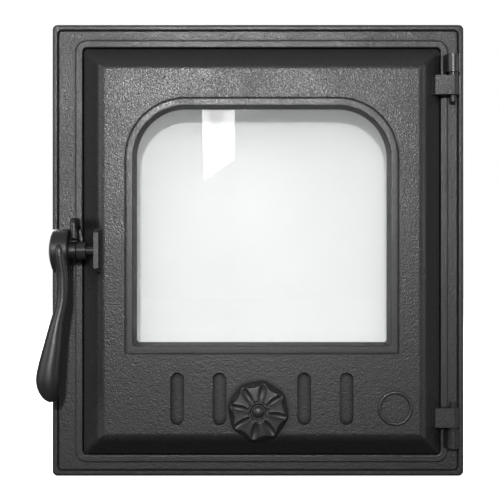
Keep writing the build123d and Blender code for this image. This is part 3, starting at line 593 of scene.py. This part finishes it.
def buildRosetteTree(settings, material):
    tree, given = newGeometryTree("rosette", settings)
    do = partial(calc, tree)

    def halfRound(distance):  # 1 in the middle, 0 from a distance of 1
        inner = do("SUBTRACT", 1.0, do("POWER", distance, 2.0))
        return do("SQRT", do("MAXIMUM", inner, 0.0))

    def stretch(start, end, toLow, toHigh):
        return spread(tree, along, start, end, toLow, toHigh)

    def dipped(radius, dip):
        return do("MULTIPLY", radius, do("SUBTRACT", 1.0, do("MULTIPLY", dip, wave)))

    net = addNode(tree, "GeometryNodeMeshGrid",
                  {"Size X": 1.0, "Size Y": 1.0, "Vertices X": given["rings"],
                   "Vertices Y": given["spokes"]}).outputs[0]
    spot = split(tree, addNode(tree, "GeometryNodeInputPosition").outputs[0])
    along = do("ADD", spot[0], 0.5)
    theta = do("MULTIPLY", do("ADD", spot[1], 0.5), 2 * math.pi)
    # concave edge between the points, a point at the end of each flute
    fromPoint = do("SUBTRACT", theta, given["turn"])
    wave = do("SINE", do("MULTIPLY", do("MULTIPLY", fromPoint, given["lobes"]), 0.5))
    wave = do("SQRT", do("MULTIPLY_ADD", wave, wave, given["blunt"]))
    edge = dipped(given["radius"], given["dip"])
    flared = dipped(do("ADD", given["radius"], given["flare"]), given["flareDip"])
    # radius and height on the front
    share = stretch(0.0, given["frontEnd"], 0.0, 1.0)
    radius = do("MULTIPLY", share, edge)
    sag = do("MULTIPLY", given["sag"], do("POWER", share, 2.0))
    height = do("SUBTRACT", given["face"], sag)
    # well below the petals, with a ring and a dome in it
    wellStart = do("SUBTRACT", given["ring"], given["ringWidth"])
    wellEnd = do("ADD", given["ring"], do("MULTIPLY", given["ringWidth"], given["wellReach"]))
    inWell = addNode(tree, "ShaderNodeMapRange", {0: radius, 1: wellStart, 2: wellEnd, 3: 1.0, 4: 0.0},
                     interpolation_type="SMOOTHSTEP").outputs[0]
    height = do("SUBTRACT", height, do("MULTIPLY", given["well"], inWell))
    ring = halfRound(do("DIVIDE", do("SUBTRACT", radius, given["ring"]), given["ringWidth"]))
    height = do("MULTIPLY_ADD", ring, given["ringHeight"], height)
    dome = halfRound(do("DIVIDE", radius, given["dome"]))
    height = do("MULTIPLY_ADD", dome, given["domeHeight"], height)
    # flutes: long scoops with an oval outline and a low lip
    step = do("DIVIDE", 2 * math.pi, given["lobes"])
    nearest = do("WRAP", fromPoint, do("MULTIPLY", step, 0.5), do("MULTIPLY", step, -0.5))
    across = do("DIVIDE", do("MULTIPLY", radius, do("SINE", nearest)), given["fluteWidth"])
    inwards = do("DIVIDE", do("SUBTRACT", radius, given["fluteMiddle"]), given["fluteReach"])
    oval = do("ADD", do("POWER", across, 2.0), do("POWER", inwards, 2.0))
    scoop = do("SMOOTH_MAX", do("SUBTRACT", 1.0, oval), 0.0, given["fluteBlend"])
    scoop = do("MULTIPLY", given["fluteDepth"], do("POWER", scoop, given["flutePower"]))
    fromLip = do("POWER", do("SUBTRACT", oval, given["lipPlace"]), 2.0)
    lip = do("EXPONENT", do("MULTIPLY", fromLip, given["lipSharpness"]))
    height = do("SUBTRACT", height, scoop)
    height = do("ADD", height, do("MULTIPLY", lip, given["lipHeight"]))
    # rounded rim
    overRim = do("DIVIDE", do("SUBTRACT", share, given["rimStart"]),
                 do("SUBTRACT", 1.0, given["rimStart"]))
    overRim = do("POWER", do("MAXIMUM", overRim, 0.0), given["rimPower"])
    height = do("SUBTRACT", height, do("MULTIPLY", given["rimDrop"], overRim))
    # past the front: flare, side, back, bore and its end
    down = do("MULTIPLY", stretch(given["frontEnd"], given["flareEnd"], 1.0, given["flareHeight"]),
              stretch(given["flareEnd"], given["sideEnd"], 1.0, 0.0))
    opening = stretch(given["frontEnd"], given["flareEnd"], 0.0, 1.0)
    sideRadius = do("MULTIPLY_ADD", opening, do("SUBTRACT", flared, edge), edge)
    backLeft = do("MULTIPLY", do("SUBTRACT", sideRadius, given["bore"]),
                  stretch(given["sideEnd"], given["backEnd"], 1.0, 0.0))
    backRadius = do("ADD", given["bore"], backLeft)
    boreIn = do("MULTIPLY", stretch(given["backEnd"], given["boreEnd"], 0.0, 1.0), given["boreDepth"])
    boreRadius = do("MULTIPLY", backRadius, stretch(given["boreEnd"], 1.0, 1.0, 0.0))
    onFront = do("LESS_THAN", along, given["frontEnd"])
    radius = addNode(tree, "ShaderNodeMix", {0: onFront, 2: boreRadius, 3: radius}).outputs[0]
    behind = do("MULTIPLY_ADD", height, down, boreIn)
    height = addNode(tree, "ShaderNodeMix", {0: onFront, 2: behind, 3: height}).outputs[0]
    spot = join(tree, do("MULTIPLY", radius, do("COSINE", theta)), do("MULTIPLY", height, -1.0),
                do("MULTIPLY", radius, do("SINE", theta)))
    spot = vectorCalc(tree, "ADD", spot, given["backMiddle"])
    knob = addNode(tree, "GeometryNodeSetPosition", {"Geometry": net, "Position": spot}).outputs[0]
    knob = addNode(tree, "GeometryNodeMergeByDistance", {"Geometry": knob, "Distance": netWeld})
    endTree(tree, knob.outputs[0], material)
    return tree


knobLow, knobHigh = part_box("rosette_knob")
rosetteShape["backMiddle"] = Vector(((knobLow.x + knobHigh.x) / 2, knobHigh.y,
                                     (knobLow.z + knobHigh.z) / 2))
rosetteKnob = growPiece("rosetteKnob", buildRosetteTree(rosetteShape, materials["knobIron"]),
                        rosetteShape, materials["knobIron"])
faceOutwards(rosetteKnob)
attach(rosetteKnob, "damper")
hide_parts("rosette_knob")
print("rosette faces:", len(rosetteKnob.data.polygons))


# Camera, lamps and surroundings

cameraLook = {"place": (-0.008, -1.108, 0.0003), "lens": 79.2, "sensor": 36.0, "reach": 30}
camera = bpy.data.objects.new("camera", bpy.data.cameras.new("camera"))
bpy.context.scene.collection.objects.link(camera)
camera.location = cameraLook["place"]
camera.rotation_euler = (math.radians(90), 0, 0)
camera.data.lens = cameraLook["lens"]
camera.data.sensor_width = cameraLook["sensor"]
camera.data.clip_end = cameraLook["reach"]
bpy.context.scene.camera = camera

lamps = {  # all of them aim at the origin
    "key": {"place": (-0.07, -2.2, 0.475), "width": 0.12, "height": 0.12, "watts": 20.5},
    "side": {"place": (-1.5, -1.3, 0.7), "width": 0.8, "height": 0.8, "watts": 4.0},
    "left": {"place": (-2.1, -0.9, 0.25), "width": 0.9, "height": 0.9, "watts": 5.0},
    "right": {"place": (2.1, -0.9, 0.25), "width": 0.9, "height": 0.9, "watts": 5.0},
    "rear": {"place": (-0.8, 1.7, 1.0), "width": 1.4, "height": 1.0, "watts": 52.0},
    "rearRight": {"place": (1.0, 1.7, 0.5), "width": 1.2, "height": 0.9, "watts": 12.0},
}
for name, lamp in lamps.items():
    light = bpy.data.lights.new(name, "AREA")
    light.shape = "RECTANGLE"
    light.size, light.size_y = lamp["width"], lamp["height"]
    light.energy = lamp["watts"]
    holder = bpy.data.objects.new(name, light)
    bpy.context.scene.collection.objects.link(holder)
    holder.location = lamp["place"]
    holder.rotation_euler = (-Vector(lamp["place"])).to_track_quat("-Z", "Y").to_euler()


def seenByCamera(tree, rays):  # straight from the camera, or from it through the glass
    direct = calc(tree, "LESS_THAN", rays.outputs["Diffuse Depth"], 0.5)
    through = calc(tree, "MULTIPLY", rays.outputs["Is Transmission Ray"], direct)
    return calc(tree, "MAXIMUM", rays.outputs["Is Camera Ray"], through)


def whiteGlow(tree, strength):
    return addNode(tree, "ShaderNodeEmission", {"Color": (1, 1, 1, 1), "Strength": strength})


# White to the camera and dim to other rays, but brighter overhead, and in
# reflections also behind the object
worldLook = {"surround": 0.03, "overhead": 0.3, "overheadEdge": (0.05, 1.0), "behind": 0.6,
             "behindEdge": (0.3, 0.9)}
world = bpy.data.worlds.new("studio")
bpy.context.scene.world = world
world.use_nodes = True
tree = world.node_tree
tree.nodes.clear()
rays = addNode(tree, "ShaderNodeLightPath")
heading = split(tree, addNode(tree, "ShaderNodeTexCoord").outputs["Generated"])
behind = spread(tree, heading[1], *worldLook["behindEdge"], 0.0, worldLook["behind"])
behind = calc(tree, "MULTIPLY", rays.outputs["Is Glossy Ray"], behind)
above = spread(tree, heading[2], *worldLook["overheadEdge"], worldLook["surround"],
               worldLook["overhead"])
level = calc(tree, "MAXIMUM", calc(tree, "MAXIMUM", seenByCamera(tree, rays), behind), above)
glow = addNode(tree, "ShaderNodeBackground", {"Color": (1, 1, 1, 1), "Strength": level})
addNode(tree, "ShaderNodeOutputWorld", {0: glow.outputs[0]})


def flatSheet(name, corners, material):
    mesh = bpy.data.meshes.new(name)
    mesh.from_pydata(corners, [], [(0, 1, 2, 3)])
    mesh.materials.append(material)
    sheet = bpy.data.objects.new(name, mesh)
    bpy.context.scene.collection.objects.link(sheet)


# The floor looks white to the camera and darkens where the door shades it
floorLook = {"half": 4, "drop": 0.0005, "grey": 0.12, "seenGrey": 0.8, "glow": (0.8, 1.0),
             "glowEdge": (0.5, 0.9)}
floorPaint, tree = blankMaterial("floorPaint", grey(0.9))
seen = seenByCamera(tree, addNode(tree, "ShaderNodeLightPath"))
shade = blendColours(tree, seen, grey(floorLook["grey"]), grey(floorLook["seenGrey"]))
matt = addNode(tree, "ShaderNodeBsdfDiffuse", {"Color": shade})
away = vectorCalc(tree, "LENGTH", objectPlace(tree))
glow = whiteGlow(tree, calc(tree, "MULTIPLY", seen,
                            spread(tree, away, *floorLook["glowEdge"], *floorLook["glow"])))
finishMaterial(tree, addNode(tree, "ShaderNodeAddShader", {0: matt.outputs[0], 1: glow.outputs[0]}))
half, floorLevel = floorLook["half"], cadLow.z - floorLook["drop"]
flatSheet("floor", [(-half, -half, floorLevel), (half, -half, floorLevel), (half, half, floorLevel),
                    (-half, half, floorLevel)], floorPaint)

# A white board stands close behind the door, inside the collar, and shows only from the room side.
# Towards the left it is painted paler, painted light where the leaf's reveal shades it
boardLook = {"width": 0.3546, "gap": 0.0015, "grey": 0.845, "paintedLightGrey": 0.99,
             "paintedLightEdge": (-0.03, -0.125), "glow": 0.06}
boardPaint, tree = blankMaterial("boardPaint", grey(0.9))
rays = addNode(tree, "ShaderNodeLightPath")
# Painted light: the board grows paler towards the left
paintedLight = spread(tree, split(tree, objectPlace(tree))[0], *boardLook["paintedLightEdge"], 0.0, 1.0)
shade = blendColours(tree, paintedLight, grey(boardLook["grey"]), grey(boardLook["paintedLightGrey"]))
matt = addNode(tree, "ShaderNodeBsdfDiffuse", {"Color": shade})
glow = whiteGlow(tree, boardLook["glow"])
lit = addNode(tree, "ShaderNodeAddShader", {0: matt.outputs[0], 1: glow.outputs[0]})
fromBehind = addNode(tree, "ShaderNodeNewGeometry").outputs["Backfacing"]
hidden = calc(tree, "MAXIMUM", fromBehind, rays.outputs["Is Shadow Ray"])
hidden = calc(tree, "MAXIMUM", hidden, rays.outputs["Is Diffuse Ray"])
clear = addNode(tree, "ShaderNodeBsdfTransparent")
finishMaterial(tree, addNode(tree, "ShaderNodeMixShader",
                             {0: hidden, 1: lit.outputs[0], 2: clear.outputs[0]}))
leafLow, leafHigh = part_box("door_leaf")
boardY, boardRight = cadHigh.y + boardLook["gap"], leafLow.x + boardLook["width"]
flatSheet("board", [(leafLow.x, boardY, leafLow.z), (boardRight, boardY, leafLow.z),
                    (boardRight, boardY, leafHigh.z), (leafLow.x, boardY, leafHigh.z)], boardPaint)

# A bright window with a bar and a dim room, seen only as mirror images in
# the object's front
gleams = {
    "windowGleam": {"corners": [(-0.1155, -1.23, 0.6), (-0.0396, -1.23, 0.6), (-0.0396, -1.23, 0.188),
                                (-0.104, -1.23, 0.146)], "middle": (-0.078, -1.23, 0.3),
                    "strength": 14.0, "fade": (5.0, 6.0), "barEdge": (0.008, 0.022), "bar": 0.4},
    "roomGleam": {"corners": [(-0.25, -1.25, 0.33), (0.21, -1.25, 0.33), (0.21, -1.25, -0.15),
                              (-0.25, -1.25, -0.15)], "middle": (-0.021, -1.25, 0.11),
                  "strength": 1.3, "fade": (0.0, 0.15), "barEdge": (0.008, 0.022), "bar": 0.0},
}
for name, gleam in gleams.items():
    paint, tree = blankMaterial(name, grey(1.0))
    do = partial(calc, tree)
    rays = addNode(tree, "ShaderNodeLightPath").outputs
    place = objectPlace(tree)
    fromMiddle = vectorCalc(tree, "DISTANCE", place, gleam["middle"])
    aside = do("ABSOLUTE", do("SUBTRACT", split(tree, place)[0], gleam["middle"][0]))
    bar = do("MULTIPLY", spread(tree, aside, *gleam["barEdge"], 1.0, 0.0), gleam["bar"])
    amount = do("MULTIPLY", spread(tree, fromMiddle, *gleam["fade"], 1.0, 0.0), do("SUBTRACT", 1.0, bar))
    mirrored = do("MULTIPLY", rays["Is Glossy Ray"], rays["Is Reflection Ray"])
    mirrored = do("MULTIPLY", mirrored, do("LESS_THAN", rays["Diffuse Depth"], 0.5))
    front = do("SUBTRACT", 1.0, addNode(tree, "ShaderNodeNewGeometry").outputs["Backfacing"])
    shown = do("MULTIPLY", do("MULTIPLY", mirrored, front), amount)
    clear = addNode(tree, "ShaderNodeBsdfTransparent")
    glow = whiteGlow(tree, gleam["strength"])
    finishMaterial(tree, addNode(tree, "ShaderNodeMixShader",
                                 {0: shown, 1: clear.outputs[0], 2: glow.outputs[0]}))
    flatSheet(name, gleam["corners"], paint)
print("stage set")

bpy.context.scene.view_settings.view_transform = "Standard"
